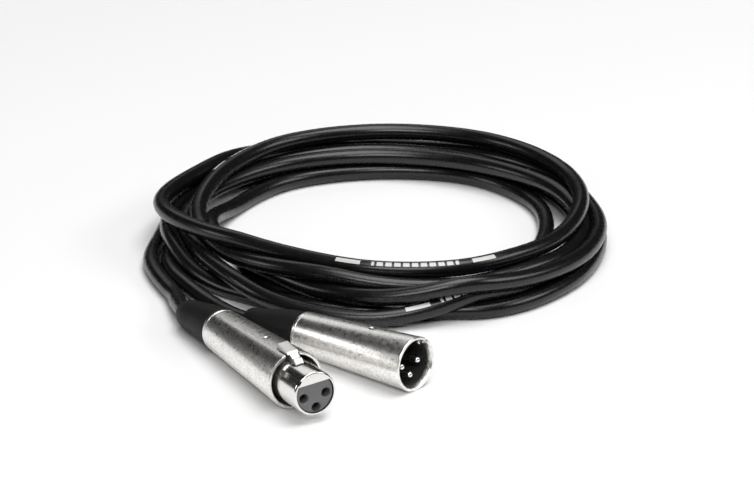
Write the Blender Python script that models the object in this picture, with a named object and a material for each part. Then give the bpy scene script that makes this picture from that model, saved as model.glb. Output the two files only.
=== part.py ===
"""A coiled microphone cable with a three-pole connector on each end, built as its real pieces.

Blender 4.5, metres, +Z up. The coil and both connectors lie on the floor, z = 0. Each connector
is modelled along its own +X, with the centre of its shell's front rim as its local origin, and
its parent empty lays it on the floor: yawed, and tipped so that its tapered shell rests along
its lower side.
"""

import math

import bmesh
import bpy
from mathutils import Euler, Matrix, Vector

MM = 0.001
GAP = 0.3 * MM

# The cable and its coil.
CABLE_DIAMETER = 6.2 * MM
CABLE_RADIUS = CABLE_DIAMETER / 2
COIL_CENTRE = Vector((-7.24 * MM, 29.31 * MM, 0))
COIL_INNER_RADIUS = 56.5 * MM
COIL_OUTER_RADIUS = 85.5 * MM
COIL_HEIGHT = 20.5 * MM
COIL_SEGMENTS = 64

# Between the floor and each shell's lower side.
FLOOR_GAP = 0.02 * MM

# Where each connector's front rim stands, from the coil's centre, and how it is turned.
FEMALE_PLACE = (78.7 * MM, -131.9 * MM)
FEMALE_YAW = math.radians(-21)
FEMALE_ROLL = math.radians(5.5)
MALE_PLACE = (99.6 * MM, -93.6 * MM)
MALE_YAW = 0.0
MALE_ROLL = 0.0

# The shells.
FEMALE_FRONT_RADIUS = 10.25 * MM
FEMALE_REAR_RADIUS = 7.75 * MM
FEMALE_LENGTH = 57 * MM
MALE_FRONT_RADIUS = 9.65 * MM
MALE_REAR_RADIUS = 7.5 * MM
MALE_LENGTH = 51.5 * MM
SHELL_WALL = 1.0 * MM
SHELL_SEGMENTS = 40
RIM_CHAMFER = 0.35 * MM
SCREW_FROM_RIM = 19.5 * MM
SCREW_RADIUS = 1.1 * MM

# The female nose, its insulator and its sockets.
NOSE_RADIUS = 7.85 * MM
NOSE_FRONT = 14.6 * MM
NOSE_REAR = -22 * MM
NOSE_BORE = 7.0 * MM
NOSE_FLAT = 3.8 * MM
SLOT_HALF_WIDTH = 2.6 * MM
SLOT_FLOOR = 4.4 * MM
SLOT_FRONT = 6.8 * MM
KEY_ANGLE = math.radians(90 + 46)
CONTACT_SPREAD = 4.2 * MM
SOCKET_RADIUS = 1.4 * MM
FEMALE_CONTACT_DROP = 0.9 * MM
MALE_CONTACT_DROP = 0.3 * MM

# The latch, which turns about its pin.
HINGE = Vector((-13.5 * MM, 0, 5.9 * MM))
HINGE_PIN_RADIUS = 0.6 * MM
EYE_RADIUS = 1.2 * MM
LATCH_HALF_WIDTH = 1.5 * MM
TAB_HALF_WIDTH = 2.1 * MM
SPRING_X = -4 * MM
SPRING_TURNS = 3
SPRING_RADIUS = 1.0 * MM
SPRING_WIRE_RADIUS = 0.17 * MM
SPRING_TOP = 6.75 * MM

# The latch's side view, in mm from the rim's centre: arm, neck and hook, then the thumb tab.
LATCH_SIDE = [
    (-13.5, 5.2),
    (-7.6, 7.1),
    (5.4, 7.1),
    (5.4, 7.9),
    (4.0, 9.3),
    (3.0, 9.3),
    (2.0, 9.9),
    (0.2, 10.7),
    (-6.2, 10.7),
    (-7.6, 8.4),
    (-13.5, 6.6),
]
TAB_SIDE = [
    (-6.9, 9.7),
    (0.2, 9.7),
    (0.9, 10.2),
    (0.2, 10.9),
    (-2.2, 11.1),
    (-5.0, 11.4),
    (-7.1, 11.9),
    (-7.3, 11.5),
]

# The male cup and its pins.
CUP_RADIUS = 8.1 * MM
CUP_DEPTH = 14 * MM
PIN_RADIUS = 1.2 * MM
PIN_RECESS = 2.1 * MM
MALE_INSULATOR_REAR = -22 * MM
MALE_KEY_ANGLE = math.radians(90 - 39)

# What both connectors hold behind their contacts.
CUP_END = -29 * MM
JACKET_END = -35 * MM
CLAMP_FROM, CLAMP_TO = -44.5 * MM, -36.5 * MM
CLAMP_RADIUS = 6.0 * MM
BOOT_LENGTH = 25 * MM
SPIGOT_LENGTH = 6 * MM
SPIGOT_RADIUS = 6.1 * MM
BOOT_END_RADIUS = 5.1 * MM
WIRE_RADIUS = 0.5 * MM

# The cable's line is worked out this closely, and the lead's tube takes every fifteenth point.
LINE_SPACING = 0.6 * MM
LEAD_STRIDE = 15
BOOT_SEGMENTS = 24

# Routes from the boots' cable ends to the coil's outer wall, from the coil's centre, in mm.
FEMALE_BOOT_END = (0.2, -103.0, 5.5)
FEMALE_ROUTE = [(-8.6, -97.0, 4.1), (-16.8, -90.5, 3.3), (-26.2, -85.1, 3.1)]
MALE_BOOT_END = (24.3, -94.8, 5.5)
MALE_ROUTE = [(13.0, -92.6, 4.4), (3.5, -89.4, 3.6)]


def clear_scene():
    for obj in list(bpy.data.objects):
        bpy.data.objects.remove(obj, do_unlink=True)


def make_material(name, colour, roughness, metallic):
    material = bpy.data.materials.new(name)
    material.use_nodes = True
    shader = material.node_tree.nodes["Principled BSDF"]
    shader.inputs["Base Color"].default_value = (*colour, 1)
    shader.inputs["Roughness"].default_value = roughness
    shader.inputs["Metallic"].default_value = metallic
    return material


def make_materials():
    return {
        "nickel": make_material("satin_nickel", (0.62, 0.61, 0.58), 0.38, 1),
        "chrome": make_material("bright_nickel", (0.75, 0.74, 0.72), 0.15, 1),
        "contact": make_material("contact_plate", (0.85, 0.83, 0.78), 0.22, 1),
        "spring": make_material("spring_steel", (0.5, 0.5, 0.5), 0.3, 1),
        "grey": make_material("grey_insulator", (0.16, 0.16, 0.17), 0.55, 0),
        "black": make_material("black_insulator", (0.015, 0.015, 0.016), 0.5, 0),
        "rubber": make_material("boot_rubber", (0.02, 0.02, 0.021), 0.65, 0),
        "jacket": make_material("cable_jacket", (0.012, 0.012, 0.013), 0.35, 0),
        "clamp": make_material("clamp_plastic", (0.03, 0.03, 0.03), 0.6, 0),
        "red": make_material("red_wire", (0.45, 0.02, 0.02), 0.4, 0),
        "white": make_material("white_wire", (0.75, 0.75, 0.72), 0.4, 0),
        "bare": make_material("bare_wire", (0.72, 0.45, 0.3), 0.35, 1),
    }


def add_object(name, bm, material, parent=None):
    bmesh.ops.recalc_face_normals(bm, faces=bm.faces)
    if bm.calc_volume(signed=True) < 0:
        bmesh.ops.reverse_faces(bm, faces=bm.faces)
    mesh = bpy.data.meshes.new(name)
    bm.to_mesh(mesh)
    bm.free()
    mesh.shade_smooth()
    mesh.set_sharp_from_angle(angle=math.radians(30))
    obj = bpy.data.objects.new(name, mesh)
    bpy.context.scene.collection.objects.link(obj)
    if material:
        mesh.materials.append(material)
    obj.parent = parent
    return obj


def turned(name, outline, material, parent=None, segments=24, centre=(0, 0), along="X"):
    """A shape turned about a line along X or Z. outline holds (distance along it, radius)
    pairs. It is open where both ends lie on the line, and closes on itself elsewhere."""
    bm = bmesh.new()
    y, z = centre
    if along == "X":
        points = [Vector((a, y, z + r)) for a, r in outline]
        axis, through = Vector((1, 0, 0)), Vector((0, y, z))
    else:
        points = [Vector((y + r, z, a)) for a, r in outline]
        axis, through = Vector((0, 0, 1)), Vector((y, z, 0))
    verts = [bm.verts.new(p) for p in points]
    pairs = list(zip(verts, verts[1:]))
    if outline[0][1] > 0:
        pairs.append((verts[-1], verts[0]))
    edges = [bm.edges.new(pair) for pair in pairs]
    bmesh.ops.spin(
        bm,
        geom=verts + edges,
        cent=through,
        axis=axis,
        angle=2 * math.pi,
        steps=segments,
        use_merge=False,
    )
    bmesh.ops.remove_doubles(bm, verts=bm.verts, dist=1e-6)
    return add_object(name, bm, material, parent)


def box(name, low, high):
    bm = bmesh.new()
    size = Vector(high) - Vector(low)
    middle = (Vector(high) + Vector(low)) / 2
    bmesh.ops.create_cube(bm, size=1, matrix=Matrix.Translation(middle) @ Matrix.Diagonal((*size, 1)))
    return add_object(name, bm, None)


def extruded(name, outline, half_width, material=None, parent=None):
    """A side outline of (x, z) pairs, drawn anticlockwise, made half_width thick each way."""
    bm = bmesh.new()
    near = [bm.verts.new((x, -half_width, z)) for x, z in outline]
    far = [bm.verts.new((x, half_width, z)) for x, z in outline]
    bm.faces.new(near)
    bm.faces.new(far[::-1])
    count = len(outline)
    for i in range(count):
        j = (i + 1) % count
        bm.faces.new((near[i], near[j], far[j], far[i]))
    return add_object(name, bm, material, parent)


def boolean(target, helper, operation="DIFFERENCE"):
    """Cuts target with helper, or joins or crosses them, and keeps helper as a hidden guide."""
    helper.hide_render = True
    helper.display_type = "WIRE"
    helper.parent = target.parent
    modifier = target.modifiers.new(helper.name, "BOOLEAN")
    modifier.object = helper
    modifier.operation = operation


def smooth_curve(points, spacing):
    """Points every spacing or so along a smooth curve through the given points, whose slope
    at each one leans towards its nearer neighbour."""
    spans = [(b - a).length for a, b in zip(points, points[1:])]
    chords = [(b - a) / span for a, b, span in zip(points, points[1:], spans)]
    slopes = [chords[0]]
    for i in range(1, len(points) - 1):
        before, after = spans[i - 1], spans[i]
        slopes.append((chords[i - 1] * after + chords[i] * before) / (before + after))
    slopes.append(chords[-1])
    found = [points[0].copy()]
    for i, span in enumerate(spans):
        steps = max(1, round(span / spacing))
        for step in range(1, steps + 1):
            t = step / steps
            found.append(
                points[i] * (1 - 3 * t**2 + 2 * t**3)
                + points[i + 1] * (3 * t**2 - 2 * t**3)
                + slopes[i] * span * (t - 2 * t**2 + t**3)
                + slopes[i + 1] * span * (t**3 - t**2)
            )
    return found


def tube(name, points, radius, material, parent=None, sides=2):
    curve = bpy.data.curves.new(name, "CURVE")
    curve.dimensions = "3D"
    curve.bevel_depth = radius
    curve.bevel_resolution = sides
    curve.use_fill_caps = True
    spline = curve.splines.new("POLY")
    spline.points.add(len(points) - 1)
    for spot, point in zip(spline.points, points):
        spot.co = (*point, 1)
    curve.materials.append(material)
    obj = bpy.data.objects.new(name, curve)
    bpy.context.scene.collection.objects.link(obj)
    obj.parent = parent
    return obj


def connector_frame(name, place, yaw, roll, front_radius, rear_radius, length):
    """The empty at a shell's front rim, laid so that the taper's lower side is on the floor."""
    tip = math.atan2(front_radius - rear_radius, length)
    empty = bpy.data.objects.new(name, None)
    bpy.context.scene.collection.objects.link(empty)
    empty.location = COIL_CENTRE + Vector((*place, front_radius * math.cos(tip) + FLOOR_GAP))
    turn = Euler((0, 0, yaw)).to_matrix() @ Euler((0, -tip, 0)).to_matrix()
    empty.rotation_euler = (turn @ Euler((roll, 0, 0)).to_matrix()).to_euler()
    bpy.context.view_layer.update()
    return empty


def contact_places(drop):
    """The three contacts' (y, z) places: a right triangle, its corner towards the floor."""
    return [
        (-CONTACT_SPREAD, -drop),
        (CONTACT_SPREAD, -drop),
        (0, -drop - CONTACT_SPREAD),
    ]


def outer_radius(front, rear, length, x):
    return front + (front - rear) * x / length


def set_screw(side, shell, front, rear, length, seat, materials, frame):
    """The slotted grub screw in the shell's top, over the seat radius that it presses on, and
    the hole that it stands in."""
    surface = outer_radius(front, rear, length, -SCREW_FROM_RIM)
    hole = turned(
        side + "_screw_hole",
        [(surface - 2 * MM, 0), (surface - 2 * MM, SCREW_RADIUS + GAP / 2)]
        + [(surface + MM, SCREW_RADIUS + GAP / 2), (surface + MM, 0)],
        None,
        segments=16,
        centre=(-SCREW_FROM_RIM, 0),
        along="Z",
    )
    boolean(shell, hole)
    top = surface - 0.25 * MM
    screw = turned(
        side + "_set_screw",
        [(seat + GAP, 0), (seat + GAP, SCREW_RADIUS), (top, SCREW_RADIUS), (top, 0)],
        materials["spring"],
        frame,
        segments=16,
        centre=(-SCREW_FROM_RIM, 0),
        along="Z",
    )
    slot_low = (-SCREW_FROM_RIM - 2 * MM, -0.25 * MM, top - 0.3 * MM)
    slot_high = (-SCREW_FROM_RIM + 2 * MM, 0.25 * MM, top + MM)
    boolean(screw, box(side + "_screw_slot", slot_low, slot_high))


def cable_clamp(side, materials, frame):
    """The two half rings that grip the jacket inside the shell."""
    bore = CABLE_RADIUS + GAP
    outline = [
        (CLAMP_FROM, bore),
        (CLAMP_TO, bore),
        (CLAMP_TO, CLAMP_RADIUS),
        (CLAMP_FROM + MM, CLAMP_RADIUS),
        (CLAMP_FROM, CLAMP_RADIUS - MM),
    ]
    for half, sign in (("upper", 1), ("lower", -1)):
        piece = turned(f"{side}_clamp_{half}", outline, materials["clamp"], frame)
        edge = sign * GAP / 2
        low = (CLAMP_FROM - MM, -0.01, min(edge, -sign * 0.01))
        high = (CLAMP_TO + MM, 0.01, max(edge, -sign * 0.01))
        boolean(piece, box(f"{side}_clamp_{half}_cut", low, high))


def inner_wires(side, drop, materials, frame):
    """The three conductors from the jacket's end into the contacts' solder cups."""
    kinds = (("drain", "bare", (-1, 0.6)), ("hot", "red", (1, 0.6)), ("cold", "white", (0, -1.1)))
    for (kind, colour, start), (y, z) in zip(kinds, contact_places(drop)):
        near = Vector((JACKET_END + GAP, start[0] * MM, start[1] * MM))
        points = [
            near,
            near + Vector((1.5 * MM, 0, 0)),
            Vector((CUP_END - 1.5 * MM, y, z)),
            Vector((CUP_END + 2 * MM, y, z)),
        ]
        tube(f"{side}_wire_{kind}", smooth_curve(points, 1.2 * MM), WIRE_RADIUS, materials[colour], frame, 1)


def boot_and_lead(side, frame, rear, length, boot_end, route, materials):
    """The cable's free stretch, from the clamp out through the boot to the coil, and the
    rubber boot, whose rings follow the same line."""
    straight = (JACKET_END, CLAMP_FROM, -length - 3 * MM)
    inside = [frame.matrix_world @ Vector((x, 0, 0)) for x in straight]
    outside = [COIL_CENTRE + Vector(p) * MM for p in [boot_end, *route]]
    line = smooth_curve([*inside, *outside], LINE_SPACING)
    lead = line[::LEAD_STRIDE]
    if (lead[-1] - line[-1]).length > 2 * MM:
        lead.append(line[-1])
    tube(side + "_lead", lead, CABLE_RADIUS, materials["jacket"], sides=3)
    distance = [0.0]
    for a, b in zip(line, line[1:]):
        distance.append(distance[-1] + (b - a).length)
    start = length + JACKET_END - SPIGOT_LENGTH
    shoulder = start + SPIGOT_LENGTH + GAP
    end = shoulder + BOOT_LENGTH
    wide = rear - 0.35 * MM
    stations = [
        (start, SPIGOT_RADIUS - 0.4 * MM),
        (start + 0.4 * MM, SPIGOT_RADIUS),
        (shoulder, SPIGOT_RADIUS),
        (shoulder, wide),
        (shoulder + 0.25 * BOOT_LENGTH, wide - 0.3 * MM),
        (shoulder + 0.55 * BOOT_LENGTH, wide - 1.2 * MM),
        (shoulder + 0.8 * BOOT_LENGTH, BOOT_END_RADIUS + 0.5 * MM),
        (end - 1.2 * MM, BOOT_END_RADIUS),
        (end - 0.3 * MM, BOOT_END_RADIUS - 0.5 * MM),
        (end, BOOT_END_RADIUS - 1.2 * MM),
    ]
    bore = CABLE_RADIUS + 0.2 * MM
    inner = [(s, bore) for s in sorted({s for s, _ in stations}, reverse=True)]
    bm = bmesh.new()
    rings = []
    for s, radius in stations + inner[1:-1]:
        i = min(range(1, len(line) - 1), key=lambda k: abs(distance[k] - s))
        ahead = (line[i + 1] - line[i - 1]).normalized()
        centre = line[i] + ahead * (s - distance[i])
        across = ahead.cross(Vector((0, 0, 1))).normalized()
        up = across.cross(ahead)
        ring = []
        for k in range(BOOT_SEGMENTS):
            angle = 2 * math.pi * k / BOOT_SEGMENTS
            spot = centre + radius * (math.cos(angle) * across + math.sin(angle) * up)
            ring.append(bm.verts.new(spot))
        rings.append(ring)
    for first, second in zip(rings, rings[1:] + rings[:1]):
        for k in range(BOOT_SEGMENTS):
            j = (k + 1) % BOOT_SEGMENTS
            bm.faces.new((first[k], first[j], second[j], second[k]))
    add_object(side + "_boot", bm, materials["rubber"])


def female_shell(frame, materials):
    front, rear, length = FEMALE_FRONT_RADIUS, FEMALE_REAR_RADIUS, FEMALE_LENGTH
    shell = turned(
        "female_shell",
        [
            (0, front - SHELL_WALL),
            (0, front - RIM_CHAMFER),
            (-RIM_CHAMFER, front),
            (-length + RIM_CHAMFER, rear),
            (-length, rear - RIM_CHAMFER),
            (-length, rear - SHELL_WALL),
        ],
        materials["nickel"],
        frame,
        SHELL_SEGMENTS,
    )
    low, high = (-7.7 * MM, -SLOT_HALF_WIDTH, 6 * MM), (MM, SLOT_HALF_WIDTH, 12 * MM)
    boolean(shell, box("female_latch_gate", low, high))
    set_screw("female", shell, front, rear, length, NOSE_RADIUS, materials, frame)


def female_nose(frame, materials):
    """The bright nose: its bore has a flat, and its top holds the latch in a slot."""
    nose = turned(
        "female_nose",
        [
            (NOSE_REAR, 0),
            (NOSE_REAR, NOSE_RADIUS),
            (NOSE_FRONT - 0.9 * MM, NOSE_RADIUS),
            (NOSE_FRONT - 0.3 * MM, NOSE_RADIUS - 0.25 * MM),
            (NOSE_FRONT, NOSE_RADIUS - 0.6 * MM),
            (NOSE_FRONT, 0),
        ],
        materials["chrome"],
        frame,
        SHELL_SEGMENTS,
    )
    ends = (NOSE_REAR - MM, NOSE_FRONT + MM)
    bore = turned(
        "nose_bore",
        [(ends[0], 0), (ends[0], NOSE_BORE), (ends[1], NOSE_BORE), (ends[1], 0)],
        None,
        segments=SHELL_SEGMENTS,
    )
    boolean(nose, bore)
    boolean(bore, box("nose_bore_flat", (ends[0] - MM, -0.01, NOSE_FLAT), (ends[1] + MM, 0.01, 0.01)))
    slot_low = (HINGE.x - 2.6 * MM, -SLOT_HALF_WIDTH, SLOT_FLOOR)
    boolean(nose, box("nose_slot", slot_low, (SLOT_FRONT, SLOT_HALF_WIDTH, 9 * MM)))
    pin_hole = turned(
        "hinge_pin_hole",
        [(-6 * MM, 0), (-6 * MM, HINGE_PIN_RADIUS + GAP / 2)]
        + [(6 * MM, HINGE_PIN_RADIUS + GAP / 2), (6 * MM, 0)],
        None,
        segments=12,
        along="Z",
    )
    pin_hole.data.transform(Matrix.Translation(HINGE) @ Matrix.Rotation(math.pi / 2, 4, "X"))
    boolean(nose, pin_hole)
    keyway = box("nose_keyway", (MM, -0.9 * MM, NOSE_RADIUS - 0.9 * MM), (0.02, 0.9 * MM, 0.01))
    keyway.data.transform(Matrix.Rotation(KEY_ANGLE - math.pi / 2, 4, "X"))
    boolean(nose, keyway)


def female_contacts(frame, materials):
    insulator = turned(
        "female_insulator",
        [
            (NOSE_REAR - 2 * MM, 0),
            (NOSE_REAR - 2 * MM, NOSE_BORE - GAP),
            (NOSE_FRONT - 0.2 * MM, NOSE_BORE - GAP),
            (NOSE_FRONT - 0.2 * MM, 0),
        ],
        materials["grey"],
        frame,
        32,
    )
    low = (NOSE_REAR - 3 * MM, -0.01, NOSE_FLAT - GAP)
    boolean(insulator, box("insulator_flat", low, (NOSE_FRONT + MM, 0.01, 0.01)))
    front, bore = NOSE_FRONT - 1.2 * MM, 1.15 * MM
    for i, place in enumerate(contact_places(FEMALE_CONTACT_DROP), 1):
        hole_end = NOSE_REAR - 3 * MM
        hole = turned(
            f"socket_hole_{i}",
            [(hole_end, 0), (hole_end, SOCKET_RADIUS + 0.2 * MM)]
            + [(NOSE_FRONT + MM, SOCKET_RADIUS + 0.2 * MM), (NOSE_FRONT + MM, 0)],
            None,
            segments=16,
            centre=place,
        )
        boolean(insulator, hole)
        turned(
            f"female_socket_{i}",
            [
                (CUP_END + 3 * MM, 0),
                (CUP_END + 3 * MM, 0.75 * MM),
                (CUP_END, 0.75 * MM),
                (CUP_END, 1.1 * MM),
                (CUP_END + 4.5 * MM, 1.1 * MM),
                (CUP_END + 4.5 * MM, SOCKET_RADIUS),
                (front, SOCKET_RADIUS),
                (front, bore),
                (front - 16 * MM, bore),
                (front - 16 * MM, 0),
            ],
            materials["contact"],
            frame,
            16,
            centre=place,
        )


def female_latch(frame, materials):
    """The sprung latch. Its mesh is kept about its hinge, the pin's axis."""
    latch = extruded(
        "female_latch",
        [(x * MM, z * MM) for x, z in LATCH_SIDE],
        LATCH_HALF_WIDTH,
        materials["chrome"],
        frame,
    )
    tab = extruded("latch_tab", [(x * MM, z * MM) for x, z in TAB_SIDE], TAB_HALF_WIDTH)
    bevel = tab.modifiers.new("rounded", "BEVEL")
    bevel.width = 0.35 * MM
    bevel.segments = 2
    boolean(latch, tab, "UNION")
    eye_half = LATCH_HALF_WIDTH - 0.2 * MM
    eye_outline = [(-eye_half, 0), (-eye_half, EYE_RADIUS), (eye_half, EYE_RADIUS), (eye_half, 0)]
    eye = turned("latch_eye", eye_outline, None, segments=16, along="Z")
    hole_outline = [(-3 * MM, 0), (-3 * MM, HINGE_PIN_RADIUS + GAP / 2)]
    hole_outline += [(3 * MM, HINGE_PIN_RADIUS + GAP / 2), (3 * MM, 0)]
    hole = turned("latch_eye_hole", hole_outline, None, segments=12, along="Z")
    across = Matrix.Translation(HINGE) @ Matrix.Rotation(math.pi / 2, 4, "X")
    eye.data.transform(across)
    hole.data.transform(across)
    boolean(latch, eye, "UNION")
    boolean(latch, hole)
    for piece in (latch, tab, eye, hole):
        piece.data.transform(Matrix.Translation(-HINGE))
        piece.location = HINGE
    pin_outline = [(-4.9 * MM, 0), (-4.9 * MM, HINGE_PIN_RADIUS)]
    pin_outline += [(4.9 * MM, HINGE_PIN_RADIUS), (4.9 * MM, 0)]
    pin = turned("latch_pin", pin_outline, materials["spring"], frame, 12, along="Z")
    pin.data.transform(across)
    low, steps = SLOT_FLOOR + 0.35 * MM, SPRING_TURNS * 12
    coil = []
    for i in range(steps + 1):
        angle = 2 * math.pi * i / 12
        height = low + (SPRING_TOP - low) * i / steps
        across, out = SPRING_RADIUS * math.sin(angle), SPRING_RADIUS * math.cos(angle)
        coil.append(Vector((SPRING_X + out, across, height)))
    tube("latch_spring", coil, SPRING_WIRE_RADIUS, materials["spring"], frame, 1)


def male_shell(frame, materials):
    front, rear, length = MALE_FRONT_RADIUS, MALE_REAR_RADIUS, MALE_LENGTH
    step = MALE_INSULATOR_REAR - GAP
    shell = turned(
        "male_shell",
        [
            (0, CUP_RADIUS + 0.2 * MM),
            (0, front - RIM_CHAMFER),
            (-RIM_CHAMFER, front),
            (-length + RIM_CHAMFER, rear),
            (-length, rear - RIM_CHAMFER),
            (-length, rear - SHELL_WALL),
            (step, 7.2 * MM),
            (step, CUP_RADIUS),
            (-0.2 * MM, CUP_RADIUS),
        ],
        materials["nickel"],
        frame,
        SHELL_SEGMENTS,
    )
    window_low = (-8.5 * MM, -SLOT_HALF_WIDTH, 7 * MM)
    boolean(shell, box("male_latch_window", window_low, (-3.2 * MM, SLOT_HALF_WIDTH, 8.95 * MM)))
    rib = box("male_key_rib", (-13.5 * MM, -0.7 * MM, 7.25 * MM), (-2.6 * MM, 0.7 * MM, 8.5 * MM))
    notch = box("male_key_notch", (-2 * MM, -0.8 * MM, 7.6 * MM), (MM, 0.8 * MM, 9.2 * MM))
    for helper, operation in ((rib, "UNION"), (notch, "DIFFERENCE")):
        helper.data.transform(Matrix.Rotation(MALE_KEY_ANGLE - math.pi / 2, 4, "X"))
        boolean(shell, helper, operation)
    set_screw("male", shell, front, rear, length, CUP_RADIUS - GAP, materials, frame)


def male_contacts(frame, materials):
    insulator = turned(
        "male_insulator",
        [
            (MALE_INSULATOR_REAR, 0),
            (MALE_INSULATOR_REAR, CUP_RADIUS - GAP),
            (-CUP_DEPTH, CUP_RADIUS - GAP),
            (-CUP_DEPTH, 0),
        ],
        materials["black"],
        frame,
        32,
    )
    for i, place in enumerate(contact_places(MALE_CONTACT_DROP), 1):
        low, high = MALE_INSULATOR_REAR - MM, -CUP_DEPTH + MM
        reach = PIN_RADIUS + 0.2 * MM
        hole = turned(
            f"pin_hole_{i}",
            [(low, 0), (low, reach), (high, reach), (high, 0)],
            None,
            segments=16,
            centre=place,
        )
        boolean(insulator, hole)
        turned(
            f"male_pin_{i}",
            [
                (CUP_END + 3 * MM, 0),
                (CUP_END + 3 * MM, 0.75 * MM),
                (CUP_END, 0.75 * MM),
                (CUP_END, PIN_RADIUS),
                (-PIN_RECESS - 1.2 * MM, PIN_RADIUS),
                (-PIN_RECESS - 0.45 * MM, 0.85 * PIN_RADIUS),
                (-PIN_RECESS, 0.35 * PIN_RADIUS),
                (-PIN_RECESS, 0),
            ],
            materials["contact"],
            frame,
            16,
            centre=place,
        )


def cable_coil(materials):
    """The coil's outer shape: a ring with its edges rounded as the outermost turns are."""
    inner, outer, high, soft = COIL_INNER_RADIUS, COIL_OUTER_RADIUS, COIL_HEIGHT, CABLE_RADIUS
    corners = ((soft, outer - soft, -90), (high - soft, outer - soft, 0))
    corners += ((high - soft, inner + soft, 90), (soft, inner + soft, 180))
    outline = []
    for z, radius, start in corners:
        for step in range(4):
            angle = math.radians(start + 30 * step)
            outline.append((z + soft * math.sin(angle), radius + soft * math.cos(angle)))
    ring = turned("cable_coil", outline, materials["jacket"], segments=COIL_SEGMENTS, along="Z")
    ring.location = COIL_CENTRE


def main():
    clear_scene()
    materials = make_materials()
    cable_coil(materials)
    female = (FEMALE_FRONT_RADIUS, FEMALE_REAR_RADIUS, FEMALE_LENGTH)
    frame = connector_frame("female_place", FEMALE_PLACE, FEMALE_YAW, FEMALE_ROLL, *female)
    female_shell(frame, materials)
    female_nose(frame, materials)
    female_contacts(frame, materials)
    female_latch(frame, materials)
    cable_clamp("female", materials, frame)
    inner_wires("female", FEMALE_CONTACT_DROP, materials, frame)
    boot_and_lead("female", frame, female[1], female[2], FEMALE_BOOT_END, FEMALE_ROUTE, materials)
    male = (MALE_FRONT_RADIUS, MALE_REAR_RADIUS, MALE_LENGTH)
    frame = connector_frame("male_place", MALE_PLACE, MALE_YAW, MALE_ROLL, *male)
    male_shell(frame, materials)
    male_contacts(frame, materials)
    cable_clamp("male", materials, frame)
    inner_wires("male", MALE_CONTACT_DROP, materials, frame)
    boot_and_lead("male", frame, male[1], male[2], MALE_BOOT_END, MALE_ROUTE, materials)


main()
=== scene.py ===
"""Finishes a coiled microphone cable and its two connectors on their fixed frame.

Blender 4.5, metres, +Z up. Each connector is modelled along its own +X, with the centre of its
shell's front rim as the origin, and is then laid at its place with that place in its mesh. The
operators stand in the order of making: stage, cable, boots, female connector, male connector.
"""

import math

import bpy
import numpy as np
from mathutils import Euler, Matrix, Vector


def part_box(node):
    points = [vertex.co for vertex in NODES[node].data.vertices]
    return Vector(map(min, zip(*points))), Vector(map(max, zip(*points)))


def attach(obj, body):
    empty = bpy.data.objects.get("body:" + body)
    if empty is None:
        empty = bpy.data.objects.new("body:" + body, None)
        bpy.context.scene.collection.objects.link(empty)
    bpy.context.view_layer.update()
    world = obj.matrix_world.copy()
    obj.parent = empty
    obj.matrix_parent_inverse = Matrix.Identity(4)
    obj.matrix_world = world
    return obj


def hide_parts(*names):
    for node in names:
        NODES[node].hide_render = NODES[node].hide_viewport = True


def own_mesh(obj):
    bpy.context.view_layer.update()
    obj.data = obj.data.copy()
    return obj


bl_info = {
    "name": "Microphone Cable Finish",
    "version": (1, 0, 0),
    "blender": (4, 5, 0),
    "location": "View3D > Sidebar > Mic Cable",
    "description": "Lays the coiled cable and finishes both of its connectors",
    "category": "Object",
}

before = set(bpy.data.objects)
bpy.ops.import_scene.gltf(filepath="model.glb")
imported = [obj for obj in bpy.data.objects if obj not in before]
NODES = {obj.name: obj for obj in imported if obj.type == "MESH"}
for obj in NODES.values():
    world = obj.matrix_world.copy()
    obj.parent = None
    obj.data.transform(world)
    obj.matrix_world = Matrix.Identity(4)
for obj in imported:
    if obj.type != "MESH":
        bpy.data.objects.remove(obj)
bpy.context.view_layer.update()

MM = 0.001

# The coil's middle on the floor, and the direction that its stations' angles start from.
COIL_LOW, COIL_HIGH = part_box("cable_coil")
COIL_CENTRE = Vector(((COIL_LOW.x + COIL_HIGH.x) / 2, (COIL_LOW.y + COIL_HIGH.y) / 2, 0))
COIL_ZERO = math.radians(41)
FLOOR_GAP = 0.02 * MM

# The shells: rim radius, rear radius and length, and where each rim stands from the coil.
FEMALE_FRONT, FEMALE_REAR, FEMALE_LENGTH = 10.25 * MM, 7.75 * MM, 57 * MM
FEMALE_PLACE = (78.7 * MM, -131.9 * MM)
FEMALE_YAW, FEMALE_ROLL = math.radians(-21), math.radians(5.5)
MALE_FRONT, MALE_REAR, MALE_LENGTH = 9.65 * MM, 7.5 * MM, 51.5 * MM
MALE_PLACE, MALE_YAW, MALE_ROLL = (99.6 * MM, -93.6 * MM), 0.0, 0.0
SHELL_WALL = 1.0 * MM
SCREW_FROM_RIM = 19.5 * MM
SCREW_RADIUS = 1.1 * MM
SPIN_STEPS, HOLE_STEPS, SMALL_STEPS = 96, 40, 32

# The female nose, its latch slot, its insulator and its sockets.
NOSE_RADIUS, NOSE_BORE, NOSE_FLAT = 7.85 * MM, 7.0 * MM, 3.8 * MM
NOSE_FRONT, NOSE_REAR = 14.6 * MM, -22 * MM
SLOT_HALF_WIDTH, SLOT_FLOOR, SLOT_FRONT = 2.6 * MM, 4.4 * MM, 6.8 * MM
KEY_ANGLE = math.radians(46)
CONTACT_SPREAD = 4.2 * MM
SOCKET_HOLE, SOCKET_RADIUS, SOCKET_DEPTH = 1.65 * MM, 1.4 * MM, 4.5 * MM
FEMALE_DROP, MALE_DROP = 0.9 * MM, 0.3 * MM
HINGE = Vector((-13.5, 0, 5.9)) * MM
HINGE_PIN_RADIUS = 0.6 * MM
SPRING_X, SPRING_TURNS, SPRING_RADIUS, SPRING_WIRE = -4 * MM, 3, 1.0 * MM, 0.17 * MM
SPRING_LOW, SPRING_TOP = SLOT_FLOOR + 0.35 * MM, 6.75 * MM
SPRING_TURN_STEPS = 20

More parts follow.
